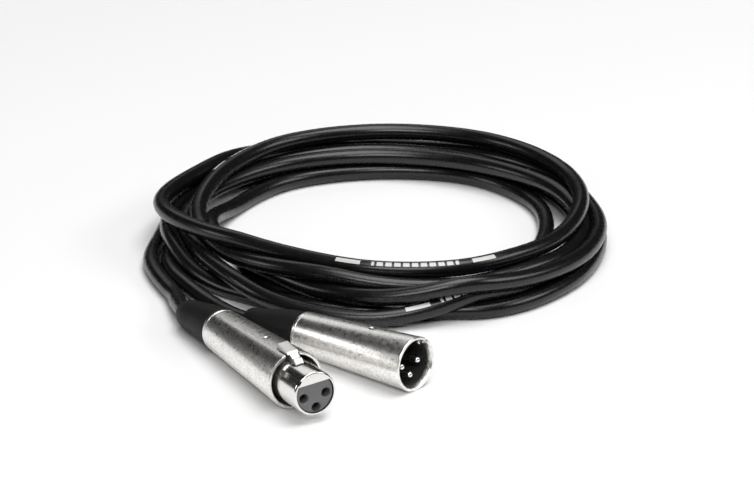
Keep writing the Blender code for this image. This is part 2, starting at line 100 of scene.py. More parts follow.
# The latch's arm and thumb tab from the side, as (x, z) in mm, and their widths.
LATCH_ARM = [(-13.5, 5.2), (-7.6, 7.1), (5.4, 7.1), (5.4, 7.9), (4.0, 9.3), (3.0, 9.3)]
LATCH_ARM += [(2.0, 9.9), (0.2, 10.7), (-6.2, 10.7), (-7.6, 8.4), (-13.5, 6.6)]
LATCH_TAB = [(-6.9, 9.7), (0.2, 9.7), (0.9, 10.2), (0.2, 10.9), (-2.2, 11.1)]
LATCH_TAB += [(-5.0, 11.4), (-7.1, 11.9), (-7.3, 11.5)]
LATCH_HALF_WIDTH, TAB_HALF_WIDTH, EYE_RADIUS = 1.5 * MM, 2.1 * MM, 1.2 * MM

# The male cup and its pins.
CUP_RADIUS, CUP_DEPTH, CUP_STEP = 8.1 * MM, 14 * MM, -22.3 * MM
PIN_RADIUS, PIN_RECESS, CUP_END = 1.2 * MM, 2.1 * MM, -29 * MM
MALE_KEY_ANGLE = math.radians(-39)
MALE_INSULATOR_REAR = -22 * MM

# The solder cup that ends every pin and socket.
SOLDER_CUP = [(CUP_END + 3 * MM, 0), (CUP_END + 3 * MM, 0.75 * MM), (CUP_END, 0.75 * MM)]

# The cable, and the points that lead it from each boot to the coil, from the coil's centre.
CABLE_DIAMETER = 6.2 * MM
CABLE_RADIUS = CABLE_DIAMETER / 2
CLAMP_FROM = -44.5 * MM
STRAIGHT_BEHIND_SHELL = 3 * MM
BOOT_LENGTH = 25 * MM
BOOT_END_RADIUS = 5.1 * MM
BOOT_LIP_LENGTH, BOOT_LIP_FALL = 2.2 * MM, 1.7 * MM
BOOT_SPECULAR = 0.25
FEMALE_LEAD = [(0.2, -103.0, 5.5), (-8.6, -97.0, 4.1), (-16.8, -90.5, 3.3), (-26.2, -85.1, 3.1)]
FEMALE_JOIN = [(-35.3, -79.7, 3.1), (-45.0, -72.5, 3.1)]
MALE_LEAD = [(24.3, -94.8, 5.5), (13.0, -92.6, 4.4), (3.5, -89.4, 3.6)]

# Each turn's (radius, height) in mm at twelve stations, clockwise from the coil's left.
STATIONS = 12
TURNS = [
    [(79, 3.1), (79, 3.1), (79.5, 3.1), (80, 3.1), (82, 3.1), (82.5, 3.1)]
    + [(81.5, 3.1), (82, 3.1), (80.5, 3.1), (73.5, 3.1), (74, 3.1), (76, 4)],
    [(76, 7), (76.5, 8), (77.5, 8.7), (78, 9), (78.5, 8.5), (78.5, 7.5)]
    + [(77.8, 6.5), (77, 7), (77.5, 7.5), (79, 3.3), (75.5, 4.5), (71, 8)],
    [(72.8, 9), (72.8, 9), (72.3, 9), (72, 9), (74, 9), (76.5, 9)]
    + [(78, 9), (77.5, 9.5), (75, 10.5), (70.5, 11.8), (66, 12), (65, 12.5)],
    [(65.9, 12.8), (69.5, 14), (76.5, 16), (81.5, 16), (84.5, 15.5), (81, 15.2)]
    + [(75.7, 14.7), (72.3, 15), (70.2, 16), (64.6, 16.6), (60.9, 17), (68.8, 17.8)],
    [(79.5, 17), (76.3, 15.2), (82, 11.5), (83.5, 9), (83.3, 9), (81.3, 9)]
    + [(80, 9), (79.5, 9), (77.3, 9), (74.5, 9), (66, 11.5), (61.5, 11)],
    [(61.8, 9.5), (61.8, 3.6), (67.8, 3.1), (71, 3.1), (74, 3.1), (70, 3.1)]
    + [(62.5, 3.1), (60, 3.1), (60, 3.1), (61, 3.1), (61, 3.1)],
]
# The last turn doubles back on the floor, under the others: a half circle and the points before
# and after it, in mm to the coil's right and to its back.
BEND_MIDDLE, BEND_RADIUS = (-61.5, -19), 13
BEND_BEFORE = [(-36, -51), (-43.5, -42), (-47.5, -31)]
BEND_AFTER = [(-73, -34), (-66.5, -50)]
FLOOR_HEIGHT = 3.1

# How the turns settle on each other. Points within NEAR diameters are looked at again every few
# rounds, unless they are neighbours on the same stretch. The pull back to a point's own place
# fades over the rounds, and the ends of the cable are held still.
POINT_SPACING = 3 * MM
SETTLE_ROUNDS, LOOK_AGAIN = 260, 8
NEAR, NEIGHBOURS, TOUCH_ALONG = 1.9, 12, 0.75 * POINT_SPACING
PUSH, SINK = 1.6, 0.03 * MM
HOLD, HOLD_LAST, HOLD_FADE = 0.03, 0.3, 0.7
END_POINTS, END_HELD = 40, 0.3
# A unit vector along the camera's line of sight.
FREE_DIRECTION = np.array([0.6104, -0.7022, 0.3665])

# Printed dashes: the prints' middles along the cable in metres. Around each middle are two end
# dashes with ticks between them, in a band beside the cable's top.
PRINT_PLACES = (0.931, 1.601, 1.8787)
DASH_MIDDLES, DASH_HALF = (-24 * MM, 25 * MM), 4.5 * MM
TICKS_MIDDLE, TICKS_HALF, TICK_PITCH, TICK_SHARE = 1 * MM, 15.5 * MM, 3.1 * MM, 0.72
BAND_MIDDLE, BAND_HALF = -0.45, 0.26

CAMERA_AZIMUTH, CAMERA_ELEVATION = math.radians(41), math.radians(21.5)
CAMERA_DISTANCE, CAMERA_LENS = 1.6, 206.2
CAMERA_TARGET = COIL_CENTRE + Vector((4.63, -4.72, 0)) * MM
CAMERA_SENSOR, CAMERA_CLIP = 36, (0.05, 50)
FLOOR_SIZE = 14

# Name, place, share of the key power, width and height.
LIGHTS = (
    ("overhead_light", (0.3, 0.1, 1.7), 1.0, 1.5, 1.1),
    ("right_light", (1.3, 0.9, 1.1), 0.35, 1.0, 0.6),
    ("camera_light", (1.1, -1.35, 1.5), 0.75, 1.2, 0.6),
    ("left_light", (-1.2, -1.3, 0.62), 0.15, 0.7, 0.5),
    ("back_light", (-1.15, 0.85, 1.2), 0.13, 1.2, 0.9),
)


# ---- Working by hand: selection, primitives, cuts ----


def start_clear():
    """Leaves edit mode and selects nothing, so that a tool acts on its own piece only."""
    if bpy.context.object and bpy.context.object.mode != "OBJECT":
        bpy.ops.object.mode_set(mode="OBJECT")
    bpy.ops.object.select_all(action="DESELECT")


def pick(obj):
    start_clear()
    obj.select_set(True)
    bpy.context.view_layer.objects.active = obj


def tidy_mesh():
    """In edit mode: merges doubles and turns every face outwards."""
    bpy.ops.mesh.select_all(action="SELECT")
    bpy.ops.mesh.remove_doubles(threshold=0.001 * MM)
    bpy.ops.mesh.normals_make_consistent(inside=False)
    bpy.ops.object.mode_set(mode="OBJECT")


def draw_outline(name, points):
    """A new object in edit mode: a line extruded from point to point."""
    start_clear()
    bpy.ops.mesh.primitive_plane_add(size=MM, location=(0, 0, 0))
    obj = bpy.context.object
    obj.name = name
    bpy.ops.object.mode_set(mode="EDIT")
    bpy.ops.mesh.merge(type="CENTER")
    bpy.ops.transform.translate(value=points[0])
    for before, after in zip(points, points[1:]):
        step = tuple(b - a for a, b in zip(before, after))
        bpy.ops.mesh.extrude_region_move(TRANSFORM_OT_translate={"value": step})
    return obj


def lathe(name, outline, centre=(0, 0), steps=SPIN_STEPS, upright=False):
    """Spins (distance, radius) pairs about a line along x, or along z if upright."""
    a, b = centre
    if upright:
        points = [(a + radius, b, along) for along, radius in outline]
        middle, axis = (a, b, 0), (0, 0, 1)
    else:
        points = [(along, a, b + radius) for along, radius in outline]
        middle, axis = (0, a, b), (1, 0, 0)
    if outline[0][1] > 0:
        points.append(points[0])
    obj = draw_outline(name, points)
    bpy.ops.mesh.select_all(action="SELECT")
    bpy.ops.mesh.spin(steps=steps, angle=2 * math.pi, center=middle, axis=axis)
    tidy_mesh()
    return obj


def side_shape(name, outline, half_width):
    """A side view of (x, z) pairs, filled and extruded across."""
    obj = draw_outline(name, [(x, -half_width, z) for x, z in outline])
    bpy.ops.mesh.select_all(action="SELECT")
    bpy.ops.mesh.edge_face_add()
    bpy.ops.mesh.extrude_region_move(TRANSFORM_OT_translate={"value": (0, 2 * half_width, 0)})
    tidy_mesh()
    return obj


def block(name, low, high, rounding=0.0, along=2):
    """A box whose four edges along one axis are rounded."""
    start_clear()
    low, high = Vector(low), Vector(high)
    bpy.ops.mesh.primitive_cube_add(size=1, location=(low + high) / 2, scale=high - low)
    obj = bpy.context.object
    obj.name = name
    bpy.ops.object.transform_apply(location=True, rotation=True, scale=True)
    if rounding:
        bpy.ops.object.mode_set(mode="EDIT")
        bpy.ops.mesh.select_all(action="DESELECT")
        bpy.ops.object.mode_set(mode="OBJECT")
        verts = obj.data.vertices
        for edge in obj.data.edges:
            way = verts[edge.vertices[1]].co - verts[edge.vertices[0]].co
            edge.select = abs(way[along]) > 0.9 * way.length
        bpy.ops.object.mode_set(mode="EDIT")
        bpy.ops.mesh.select_mode(type="EDGE")
        bpy.ops.mesh.bevel(offset=rounding, segments=6, clamp_overlap=True)
        bpy.ops.mesh.select_mode(type="VERT")
        bpy.ops.object.mode_set(mode="OBJECT")
    return obj


def swing(obj, angle):
    """Turns a piece about the connector's own axis, at the top to begin with."""
    obj.data.transform(Matrix.Rotation(angle, 4, "X"))
    return obj


def join_shape(obj, other, operation="DIFFERENCE"):
    """Cuts obj with other, or joins them, and takes other away."""
    pick(obj)
    bpy.ops.object.modifier_add(type="BOOLEAN")
    modifier = obj.modifiers[-1]
    modifier.operation = operation
    modifier.solver = "EXACT"
    modifier.object = other
    bpy.ops.object.modifier_apply(modifier=modifier.name)
    bpy.data.objects.remove(other, do_unlink=True)
    return obj


def round_edges(obj, width, angle=40, segments=3):
    """Rounds the sharp edges by a Bevel that is applied."""
    pick(obj)
    bpy.ops.object.modifier_add(type="BEVEL")
    modifier = obj.modifiers[-1]
    modifier.width = width
    modifier.segments = segments
    modifier.limit_method = "ANGLE"
    modifier.angle_limit = math.radians(angle)
    bpy.ops.object.modifier_apply(modifier=modifier.name)
    return obj


def connector_matrix(place, yaw, roll, front, rear, length):
    """Where a connector's rim stands, laid so that the taper's lower side is on the floor."""
    tip = math.atan2(front - rear, length)
    turn = Euler((0, 0, yaw)).to_matrix() @ Euler((0, -tip, 0)).to_matrix()
    turn = turn @ Euler((roll, 0, 0)).to_matrix()
    spot = COIL_CENTRE + Vector((*place, front * math.cos(tip) + FLOOR_GAP))
    return Matrix.Translation(spot) @ turn.to_4x4()


FEMALE_AT = connector_matrix(
    FEMALE_PLACE, FEMALE_YAW, FEMALE_ROLL, FEMALE_FRONT, FEMALE_REAR, FEMALE_LENGTH
)
MALE_AT = connector_matrix(MALE_PLACE, MALE_YAW, MALE_ROLL, MALE_FRONT, MALE_REAR, MALE_LENGTH)


def finish_piece(obj, matrix, material, nodes, body="cable", angle=30):
    """Lays a piece at its place, shades it, and lets it stand for its CAD nodes."""
    obj.data.transform(matrix)
    pick(obj)
    bpy.ops.object.shade_smooth_by_angle(angle=math.radians(angle))
    obj.data.materials.clear()
    obj.data.materials.append(material)
    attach(obj, body)
    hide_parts(*nodes)
    return obj


def paint_node(name, material):
    """Gives a CAD node that keeps its shape its finished material."""
    NODES[name].data.materials.clear()
    NODES[name].data.materials.append(material)


# ---- Material groups and materials ----


def new_group(name, inputs, outputs):
    """A shader node group. inputs are (name, default) pairs; a vector's default is None."""
    group = bpy.data.node_groups.new(name, "ShaderNodeTree")
    for label, default in inputs:
        kind = "NodeSocketVector" if default is None else "NodeSocketFloat"
        socket = group.interface.new_socket(label, in_out="INPUT", socket_type=kind)
        if default is not None:
            socket.default_value = default
    for label in outputs:
        group.interface.new_socket(label, in_out="OUTPUT", socket_type="NodeSocketFloat")
    return group, group.nodes.new("NodeGroupInput"), group.nodes.new("NodeGroupOutput")


def math_node(tree, operation, first, second=None, third=None):
    """A Math node whose operands are sockets or numbers. Gives its output socket."""
    node = tree.nodes.new("ShaderNodeMath")
    node.operation = operation
    for socket, value in zip(node.inputs, (first, second, third)):
        if value is None:
            continue
        if isinstance(value, (int, float)):
            socket.default_value = value
        else:
            tree.links.new(value, socket)
    return node.outputs[0]


def noise(tree, vector, scale, detail):
    """A Noise node's value. vector and scale are sockets."""
    node = tree.nodes.new("ShaderNodeTexNoise")
    tree.links.new(vector, node.inputs["Vector"])
    tree.links.new(scale, node.inputs["Scale"])
    node.inputs["Detail"].default_value = detail
    node.inputs["Roughness"].default_value = 0.5
    return node.outputs["Fac"]


def grain_group():
    """Fine pits and broad clouding at a size given per metre: values about 0.5."""
    name = "surface_grain"
    if name in bpy.data.node_groups:
        return bpy.data.node_groups[name]
    inputs = [("Vector", None), ("Fine Scale", 1500.0), ("Broad Scale", 300.0)]
    group, entry, leave = new_group(name, inputs, ["Fine", "Broad", "Height"])
    fine = noise(group, entry.outputs["Vector"], entry.outputs["Fine Scale"], 1.5)
    broad = noise(group, entry.outputs["Vector"], entry.outputs["Broad Scale"], 3.0)
    group.links.new(fine, leave.inputs["Fine"])
    group.links.new(broad, leave.inputs["Broad"])
    both = math_node(group, "MULTIPLY_ADD", broad, 0.6, fine)
    group.links.new(both, leave.inputs["Height"])
    return group


def dashes_group():
    """White dashes printed along a cable. Place runs along it from the print's middle, and
    Side is 0 over the cable's top."""
    name = "printed_dashes"
    if name in bpy.data.node_groups:
        return bpy.data.node_groups[name]
    group, entry, leave = new_group(name, [("Place", 1.0), ("Side", 0.0)], ["Mask"])
    place, side = entry.outputs["Place"], entry.outputs["Side"]

    def within(value, middle, half):
        offset = math_node(group, "SUBTRACT", value, middle)
        return math_node(group, "LESS_THAN", math_node(group, "ABSOLUTE", offset), half)

    ends = [within(place, middle, DASH_HALF) for middle in DASH_MIDDLES]
    beat = math_node(group, "FRACT", math_node(group, "MULTIPLY", place, 1 / TICK_PITCH))
    inked = math_node(group, "LESS_THAN", beat, TICK_SHARE)
    ticks = math_node(group, "MULTIPLY", within(place, TICKS_MIDDLE, TICKS_HALF), inked)
    dashes = math_node(group, "MAXIMUM", math_node(group, "ADD", *ends), ticks)
    band = within(side, BAND_MIDDLE, BAND_HALF)
    group.links.new(math_node(group, "MULTIPLY", dashes, band), leave.inputs["Mask"])
    return group


def new_material(name, colour, roughness, metallic=0.0):
    material = bpy.data.materials.new(name)
    material.use_nodes = True
    shader = material.node_tree.nodes["Principled BSDF"]
    shader.inputs["Base Color"].default_value = (*colour, 1)
    shader.inputs["Roughness"].default_value = roughness
    shader.inputs["Metallic"].default_value = metallic
    return material, material.node_tree, shader


def grained(name, colour, roughness, metallic, spread, fine, broad, height, rough_spread=0.1):
    """A material with grain in its colour, its roughness and its relief. spread is how far
    the colour swings, and height is the relief in metres."""
    material, tree, shader = new_material(name, colour, roughness, metallic)
    coordinates = tree.nodes.new("ShaderNodeTexCoord")
    grain = tree.nodes.new("ShaderNodeGroup")
    grain.node_tree = grain_group()
    tree.links.new(coordinates.outputs["Object"], grain.inputs["Vector"])
    grain.inputs["Fine Scale"].default_value = fine
    grain.inputs["Broad Scale"].default_value = broad
    mix = tree.nodes.new("ShaderNodeMix")
    mix.data_type = "RGBA"
    mix.inputs["A"].default_value = (*(c * (1 - spread) for c in colour), 1)
    mix.inputs["B"].default_value = (*(min(1.0, c * (1 + spread)) for c in colour), 1)
    tree.links.new(grain.outputs["Height"], mix.inputs["Factor"])
    tree.links.new(mix.outputs["Result"], shader.inputs["Base Color"])
    lowest = roughness - rough_spread
    rough = math_node(tree, "MULTIPLY_ADD", grain.outputs["Broad"], 2 * rough_spread, lowest)
    tree.links.new(rough, shader.inputs["Roughness"])
    bump = tree.nodes.new("ShaderNodeBump")
    bump.inputs["Distance"].default_value = height
    bump.inputs["Strength"].default_value = 1.0
    tree.links.new(grain.outputs["Height"], bump.inputs["Height"])
    tree.links.new(bump.outputs["Normal"], shader.inputs["Normal"])
    return material


def jacket_material(colour, ink):
    """The glossy black jacket with its printed dashes."""
    recipe = (colour, 0.27, 0.0, 0.25, 2600.0, 260.0, 0.014 * MM, 0.07)
    material = grained("cable_jacket_gloss", *recipe)
    tree = material.node_tree
    shader = tree.nodes["Principled BSDF"]
    dashes = tree.nodes.new("ShaderNodeGroup")
    dashes.node_tree = dashes_group()
    for label, attribute in (("Place", "print_place"), ("Side", "print_side")):
        reader = tree.nodes.new("ShaderNodeAttribute")
        reader.attribute_name = attribute
        tree.links.new(reader.outputs["Fac"], dashes.inputs[label])
    base = shader.inputs["Base Color"].links[0].from_socket
    mix = tree.nodes.new("ShaderNodeMix")
    mix.data_type = "RGBA"
    mix.inputs["B"].default_value = (*ink, 1)
    tree.links.new(base, mix.inputs["A"])
    tree.links.new(dashes.outputs["Mask"], mix.inputs["Factor"])
    tree.links.new(mix.outputs["Result"], shader.inputs["Base Color"])
    return material


def finishes():
    """Every finish, made once and then found by name. A recipe holds grained's arguments."""
    settings = bpy.context.scene.mic_connectors
    shell = tuple(settings.shell_colour)
    bright = tuple(settings.bright_colour)
    recipes = {
        "shell_nickel": (shell, 0.3, 1.0, 0.5, 1500.0, 650.0, 0.038 * MM, 0.1),
        "nose_chrome": (bright, 0.18, 1.0, 0.05, 2500.0, 300.0, 0.008 * MM, 0.05),
        "latch_nickel": (bright, 0.36, 1.0, 0.05, 2500.0, 300.0, 0.01 * MM, 0.05),
        # A dark non-metal finish for the sheet inside the male cup, whose real wall is metal:
        # painted shade.
        "cup_dark": ((0.03, 0.03, 0.031), 0.28, 0.0, 0.1, 2500.0, 500.0, 0.005 * MM, 0.05),
        "contact_silver": ((0.86, 0.84, 0.79), 0.2, 1.0, 0.05, 2500.0, 500.0, 0.005 * MM, 0.05),
        "steel_bright": ((0.5, 0.5, 0.5), 0.28, 1.0, 0.1, 2500.0, 500.0, 0.01 * MM, 0.08),
        "insulator_grey": ((0.13, 0.13, 0.135), 0.5, 0.0, 0.12, 3000.0, 500.0, 0.02 * MM, 0.08),
        "insulator_black": ((0.02, 0.02, 0.021), 0.45, 0.0, 0.2, 3000.0, 500.0, 0.02 * MM, 0.08),
        "boot_rubber_matte": ((0.004, 0.004, 0.0043), 0.6, 0.0, 0.3, 3200.0, 350.0, 0.04 * MM, 0.1),
        "clamp_black": ((0.03, 0.03, 0.03), 0.55, 0.0, 0.2, 2000.0, 400.0, 0.02 * MM, 0.1),
        "core_red": ((0.45, 0.02, 0.02), 0.4, 0.0, 0.1, 2000.0, 400.0, 0.01 * MM, 0.05),
        "core_white": ((0.75, 0.75, 0.72), 0.4, 0.0, 0.05, 2000.0, 400.0, 0.01 * MM, 0.05),
        "core_bare": ((0.72, 0.45, 0.3), 0.35, 1.0, 0.1, 2500.0, 400.0, 0.02 * MM, 0.08),
    }
    for name, recipe in recipes.items():
        if name not in bpy.data.materials:
            material = grained(name, *recipe)
            if name == "boot_rubber_matte":
                shader = material.node_tree.nodes["Principled BSDF"]
                shader.inputs["Specular IOR Level"].default_value = BOOT_SPECULAR
    return bpy.data.materials


# ---- The cable's route ----


def smooth_curve(points, spacing):
    """Points along a smooth curve through the given ones, whose slope at each one leans
    towards its nearer neighbour."""
    spans = [(b - a).length for a, b in zip(points, points[1:])]
    chords = [(b - a) / span for a, b, span in zip(points, points[1:], spans)]
    slopes = [chords[0]]
    for i in range(1, len(points) - 1):
        before, after = spans[i - 1], spans[i]
        slopes.append((chords[i - 1] * after + chords[i] * before) / (before + after))
    slopes.append(chords[-1])
    found = [points[0].copy()]
    for i, span in enumerate(spans):
        steps = max(1, round(span / spacing))
        for step in range(1, steps + 1):
            t = step / steps
            found.append(
                points[i] * (1 - 3 * t**2 + 2 * t**3)
                + points[i + 1] * (3 * t**2 - 2 * t**3)
                + slopes[i] * span * (t - 2 * t**2 + t**3)
                + slopes[i + 1] * span * (t**3 - t**2)
            )
    return found


def distances(line):
    """How far along a line each of its points is."""
    gaps = np.linalg.norm(np.diff(line, axis=0), axis=1)
    return np.concatenate([[0], np.cumsum(gaps)])


def points_at(line, at):
    """A line's points at these distances along it."""
    along = distances(line)
    return np.stack([np.interp(at, along, line[:, k]) for k in range(3)], axis=1)


def evenly(line, step):
    """The line again as an array, with points a step apart."""
    line = np.array(line, float)
    whole = distances(line)[-1]
    return points_at(line, np.linspace(0, whole, round(whole / step) + 1))


def directions(line):
    """A line's unit direction at each of its points."""
    way = np.gradient(line, axis=0)
    return way / np.linalg.norm(way, axis=1)[:, None]


def from_coil(right, back, height):
    """A point in mm to the coil's right and to its back, in the frame."""
    return COIL_CENTRE + Matrix.Rotation(COIL_ZERO, 3, "Z") @ Vector((right, back, height)) * MM


def connector_line(matrix, length, lead):
    """The line from the cable clamp out through the boot and along the lead."""
    ends = (CLAMP_FROM, -length - STRAIGHT_BEHIND_SHELL)
    inside = [matrix @ Vector((x, 0, 0)) for x in ends]
    return inside + [COIL_CENTRE + Vector(p) * MM for p in lead]


def cable_route():
    """The cable's line, from the spigot of the female boot to that of the male one."""
    points = connector_line(FEMALE_AT, FEMALE_LENGTH, FEMALE_LEAD + FEMALE_JOIN)
    for turn in TURNS:
        for k, (radius, height) in enumerate(turn):
            angle = math.pi - 2 * math.pi * k / STATIONS
            points.append(from_coil(radius * math.cos(angle), radius * math.sin(angle), height))
    bend = []
    for angle in np.radians((0, 45, 90, 135, 180)):
        right = BEND_MIDDLE[0] + BEND_RADIUS * math.cos(angle)
        bend.append((right, BEND_MIDDLE[1] + BEND_RADIUS * math.sin(angle)))
    points += [from_coil(x, y, FLOOR_HEIGHT) for x, y in BEND_BEFORE + bend + BEND_AFTER]
    points += connector_line(MALE_AT, MALE_LENGTH, MALE_LEAD)[::-1]
    line = smooth_curve(points, MM)
    hidden = [
        math.ceil(abs(length + STRAIGHT_BEHIND_SHELL + CLAMP_FROM) / MM)
        for length in (FEMALE_LENGTH, MALE_LENGTH)
    ]
    return evenly(line[hidden[0] : len(line) - hidden[1]], POINT_SPACING)


def settle(line):
    """Lets the turns push each other a diameter apart and sink onto what lies below them.
    Across FREE_DIRECTION each point is drawn back to its place, and along it, it is free."""
    target, place, count = line, line.copy(), len(line)
    order = np.arange(count)
    from_end = np.minimum(order, count - 1 - order)
    freedom = np.clip(from_end / END_POINTS - END_HELD, 0, 1)[:, None]
    across = np.eye(3) - np.outer(FREE_DIRECTION, FREE_DIRECTION)
    for rounds in range(SETTLE_ROUNDS):
        if rounds % LOOK_AGAIN == 0:
            apart = ((place[:, None] - place[None]) ** 2).sum(2)
            first, second = np.where(apart < (NEAR * CABLE_DIAMETER) ** 2)
            other = np.abs(first - second) > NEIGHBOURS
            first, second = first[other], second[other]
        way = directions(place)
        gap = place[first] - place[second]
        along = (gap * way[second]).sum(1)
        gap -= along[:, None] * way[second]
        distance = np.linalg.norm(gap, axis=1)
        touch = (np.abs(along) < TOUCH_ALONG) & (distance < CABLE_DIAMETER)
        overlap = (CABLE_DIAMETER - distance[touch])[:, None]
        shove = gap[touch] / distance[touch][:, None] * overlap
        push, pushes = np.zeros_like(place), np.zeros((count, 1))
        np.add.at(push, first[touch], shove / 2)
        np.add.at(push, second[touch], -shove / 2)
        np.add.at(pushes, first[touch], 1)
        np.add.at(pushes, second[touch], 1)
        left = 1 - rounds / SETTLE_ROUNDS
        move = PUSH * push / np.maximum(pushes, 1)
        move -= HOLD * (HOLD_LAST + HOLD_FADE * left) * (place - target) @ across
        move[:, 2] -= SINK * left
        shift = place + freedom * move - target
        for _ in range(2):
            shift[1:-1] = shift[1:-1] / 2 + (shift[:-2] + shift[2:]) / 4
        place = target + shift
        place[:, 2] = np.maximum(place[:, 2], CABLE_RADIUS)
    return place


def tube_mesh(name, line, radii, sides):
    """A closed tube of rings along a line, its first corner of each ring at the top."""
    way = directions(line)
    side = np.cross(way, (0, 0, 1))
    side /= np.linalg.norm(side, axis=1)[:, None]
    up = np.cross(side, way)
    turn = 2 * np.pi * np.arange(sides) / sides
    ring = np.sin(turn)[None, :, None] * side[:, None] + np.cos(turn)[None, :, None] * up[:, None]
    radii = np.broadcast_to(radii, len(line))[:, None, None]
    points = (line[:, None] + ring * radii).reshape(-1, 3)
    faces = []
    for i in range(len(line) - 1):
        for k in range(sides):
            j = (k + 1) % sides
            faces.append((i * sides + k, i * sides + j, (i + 1) * sides + j, (i + 1) * sides + k))
    faces.append(tuple(range(sides))[::-1])
    faces.append(tuple(range((len(line) - 1) * sides, len(line) * sides)))
    mesh = bpy.data.meshes.new(name)
    mesh.from_pydata(points.tolist(), [], faces)
    obj = bpy.data.objects.new(name, mesh)
    bpy.context.scene.collection.objects.link(obj)
    pick(obj)
    bpy.ops.object.mode_set(mode="EDIT")
    bpy.ops.mesh.select_all(action="SELECT")
    bpy.ops.mesh.normals_make_consistent(inside=False)
    bpy.ops.object.mode_set(mode="OBJECT")
    return obj


def add_attribute(obj, name, values):
    layer = obj.data.attributes.new(name, "FLOAT", "POINT")
    layer.data.foreach_set("value", np.asarray(values, np.float32).ravel())


# ---- Settings that a user would change ----


COLOUR = {"subtype": "COLOR", "size": 3, "min": 0, "max": 1}


class MicCableSettings(bpy.types.PropertyGroup):
    jacket_colour: bpy.props.FloatVectorProperty(
        name="Jacket Colour",
        description="Colour of the cable's outer jacket",
        **COLOUR,
        default=(0.0035, 0.0035, 0.004),
    )
    ink_colour: bpy.props.FloatVectorProperty(
        name="Ink Colour",
        description="Colour of the printed dashes",
        **COLOUR,
        default=(0.62, 0.62, 0.6),
    )
    sides: bpy.props.IntProperty(
        name="Sides", description="Corners around the cable", default=22, min=8, max=48
    )


class MicConnectorSettings(bpy.types.PropertyGroup):
    shell_colour: bpy.props.FloatVectorProperty(
        name="Shell Colour",
        description="Colour of the satin shells",
        **COLOUR,
        default=(0.66, 0.65, 0.632),
    )
    bright_colour: bpy.props.FloatVectorProperty(
        name="Bright Colour",
        description="Colour of the nose and the latch",
        **COLOUR,
        default=(0.8, 0.79, 0.77),
    )
    edge_rounding: bpy.props.FloatProperty(
        name="Edge Rounding",
        description="Rounding of the machined edges",
        unit="LENGTH",
        default=0.15 * MM,
        min=0.02 * MM,
        max=0.4 * MM,
    )


class MicStageSettings(bpy.types.PropertyGroup):
    floor_colour: bpy.props.FloatVectorProperty(
        name="Floor Colour",
        description="Colour of the studio floor",
        **COLOUR,
        default=(0.93, 0.93, 0.93),
    )
    key_power: bpy.props.FloatProperty(
        name="Key Power",
        description="Strength of the large light above the coil",
        unit="POWER",
        default=24.0,
        min=0,
    )
    surround: bpy.props.FloatProperty(
        name="Surround", description="Brightness of the room around", default=0.02, min=0, max=4
    )


# ---- Operators ----


class MIC_OT_stage(bpy.types.Operator):
    """Makes the floor, the soft lights and the camera"""

    bl_idname = "mic.stage"
    bl_label = "Make Stage"

    def execute(self, context):
        settings = context.scene.mic_stage
        start_clear()
        bpy.ops.mesh.primitive_plane_add(size=FLOOR_SIZE, location=(0, 0, 0))
        floor = context.object
        floor.name = "studio_floor"
        material, _, _ = new_material("studio_floor_white", tuple(settings.floor_colour), 0.9)
        floor.data.materials.append(material)
        for name, spot, share, width, height in LIGHTS:
            bpy.ops.object.light_add(type="AREA", location=spot)
            light = context.object
            light.name = name
            light.data.shape = "RECTANGLE"
            light.data.size, light.data.size_y = width, height
            light.data.energy = settings.key_power * share
            light.rotation_euler = (-Vector(spot)).to_track_quat("-Z", "Y").to_euler()
        world = context.scene.world or bpy.data.worlds.new("studio")
        context.scene.world = world
        world.use_nodes = True
        background = world.node_tree.nodes["Background"]
        background.inputs["Color"].default_value = (1, 1, 1, 1)
        background.inputs["Strength"].default_value = settings.surround
        away = Vector(
            (
                math.sin(CAMERA_AZIMUTH) * math.cos(CAMERA_ELEVATION),
                -math.cos(CAMERA_AZIMUTH) * math.cos(CAMERA_ELEVATION),
                math.sin(CAMERA_ELEVATION),
            )
        )
        bpy.ops.object.camera_add(location=CAMERA_TARGET + away * CAMERA_DISTANCE)
        camera = context.object
        camera.name = "studio_camera"
        camera.rotation_euler = (-away).to_track_quat("-Z", "Y").to_euler()
        camera.data.lens = CAMERA_LENS
        camera.data.sensor_width = CAMERA_SENSOR
        camera.data.clip_start, camera.data.clip_end = CAMERA_CLIP
        context.scene.camera = camera
        context.scene.view_settings.view_transform = "Standard"
        return {"FINISHED"}


class MIC_OT_cable(bpy.types.Operator):
    """Lays the coiled cable from one boot to the other"""

    bl_idname = "mic.cable"
    bl_label = "Lay Cable"

    def execute(self, context):
        settings = context.scene.mic_cable
        line = settle(cable_route())
        cable = tube_mesh("microphone_cable", line, CABLE_RADIUS, settings.sides)
        from_print = distances(line)[:, None] - np.array(PRINT_PLACES)
        nearest = np.abs(from_print).argmin(axis=1)
        place = from_print[np.arange(len(line)), nearest]
        add_attribute(cable, "print_place", np.repeat(place, settings.sides))
        turn = 2 * np.pi * np.arange(settings.sides) / settings.sides
        side = np.where(np.cos(turn) > 0, np.sin(turn), 2 * np.sign(np.sin(turn)))
        add_attribute(cable, "print_side", np.tile(side, len(line)))
        material = jacket_material(tuple(settings.jacket_colour), tuple(settings.ink_colour))
        finish_piece(
            cable,
            Matrix.Identity(4),
            material,
            ("cable_coil", "female_lead", "male_lead"),
            angle=60,
        )
        return {"FINISHED"}


